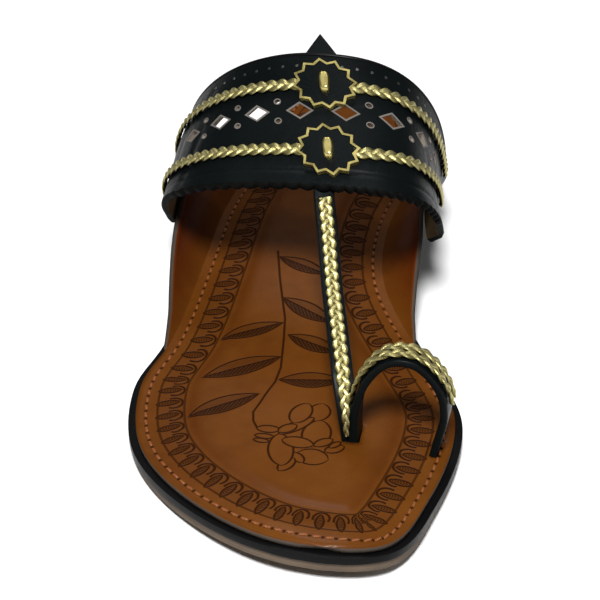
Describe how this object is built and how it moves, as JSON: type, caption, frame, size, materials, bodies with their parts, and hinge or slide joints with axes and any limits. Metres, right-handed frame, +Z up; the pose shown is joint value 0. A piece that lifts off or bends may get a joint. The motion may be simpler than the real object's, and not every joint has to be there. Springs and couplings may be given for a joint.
{
  "type": "toe-loop sandal",
  "caption": "Flat right-foot leather sandal with a wide pierced instep band, a braided toe strap, a toe loop and a tooled tan footbed.",
  "frame": {"origin": "on the ground under the middle of the sandal's bounding box", "axes": "+Z up; the toe points along -Y and the heel along +Y; +X is the big-toe (medial) side of this right-foot sandal"},
  "size_m": [0.1048, 0.2542, 0.0816],
  "materials": {
    "outsole": "matt, taupe brown",
    "rim_leather": "polished black edge",
    "insole_leather": "burnished tan, tooled",
    "upper_leather": "black, satin",
    "rosette_leather": "black with a gold edge",
    "gold_braid": "plaited pale gold cord, metallic",
    "stud_metal": "polished"
  },
  "bodies": {
    "root": {"outsole": "outsole", "midsole_rim": "rim_leather", "insole": "insole_leather", "upper": "upper_leather", "braid_front_lateral": "gold_braid", "braid_front_medial": "gold_braid", "rosette_front": "rosette_leather", "stud_front": "stud_metal", "braid_rear_lateral": "gold_braid", "braid_rear_medial": "gold_braid", "rosette_rear": "rosette_leather", "stud_rear": "stud_metal", "braid_toe_strap": "gold_braid", "braid_toe_loop": "gold_braid"}
  },
  "joints": []
}
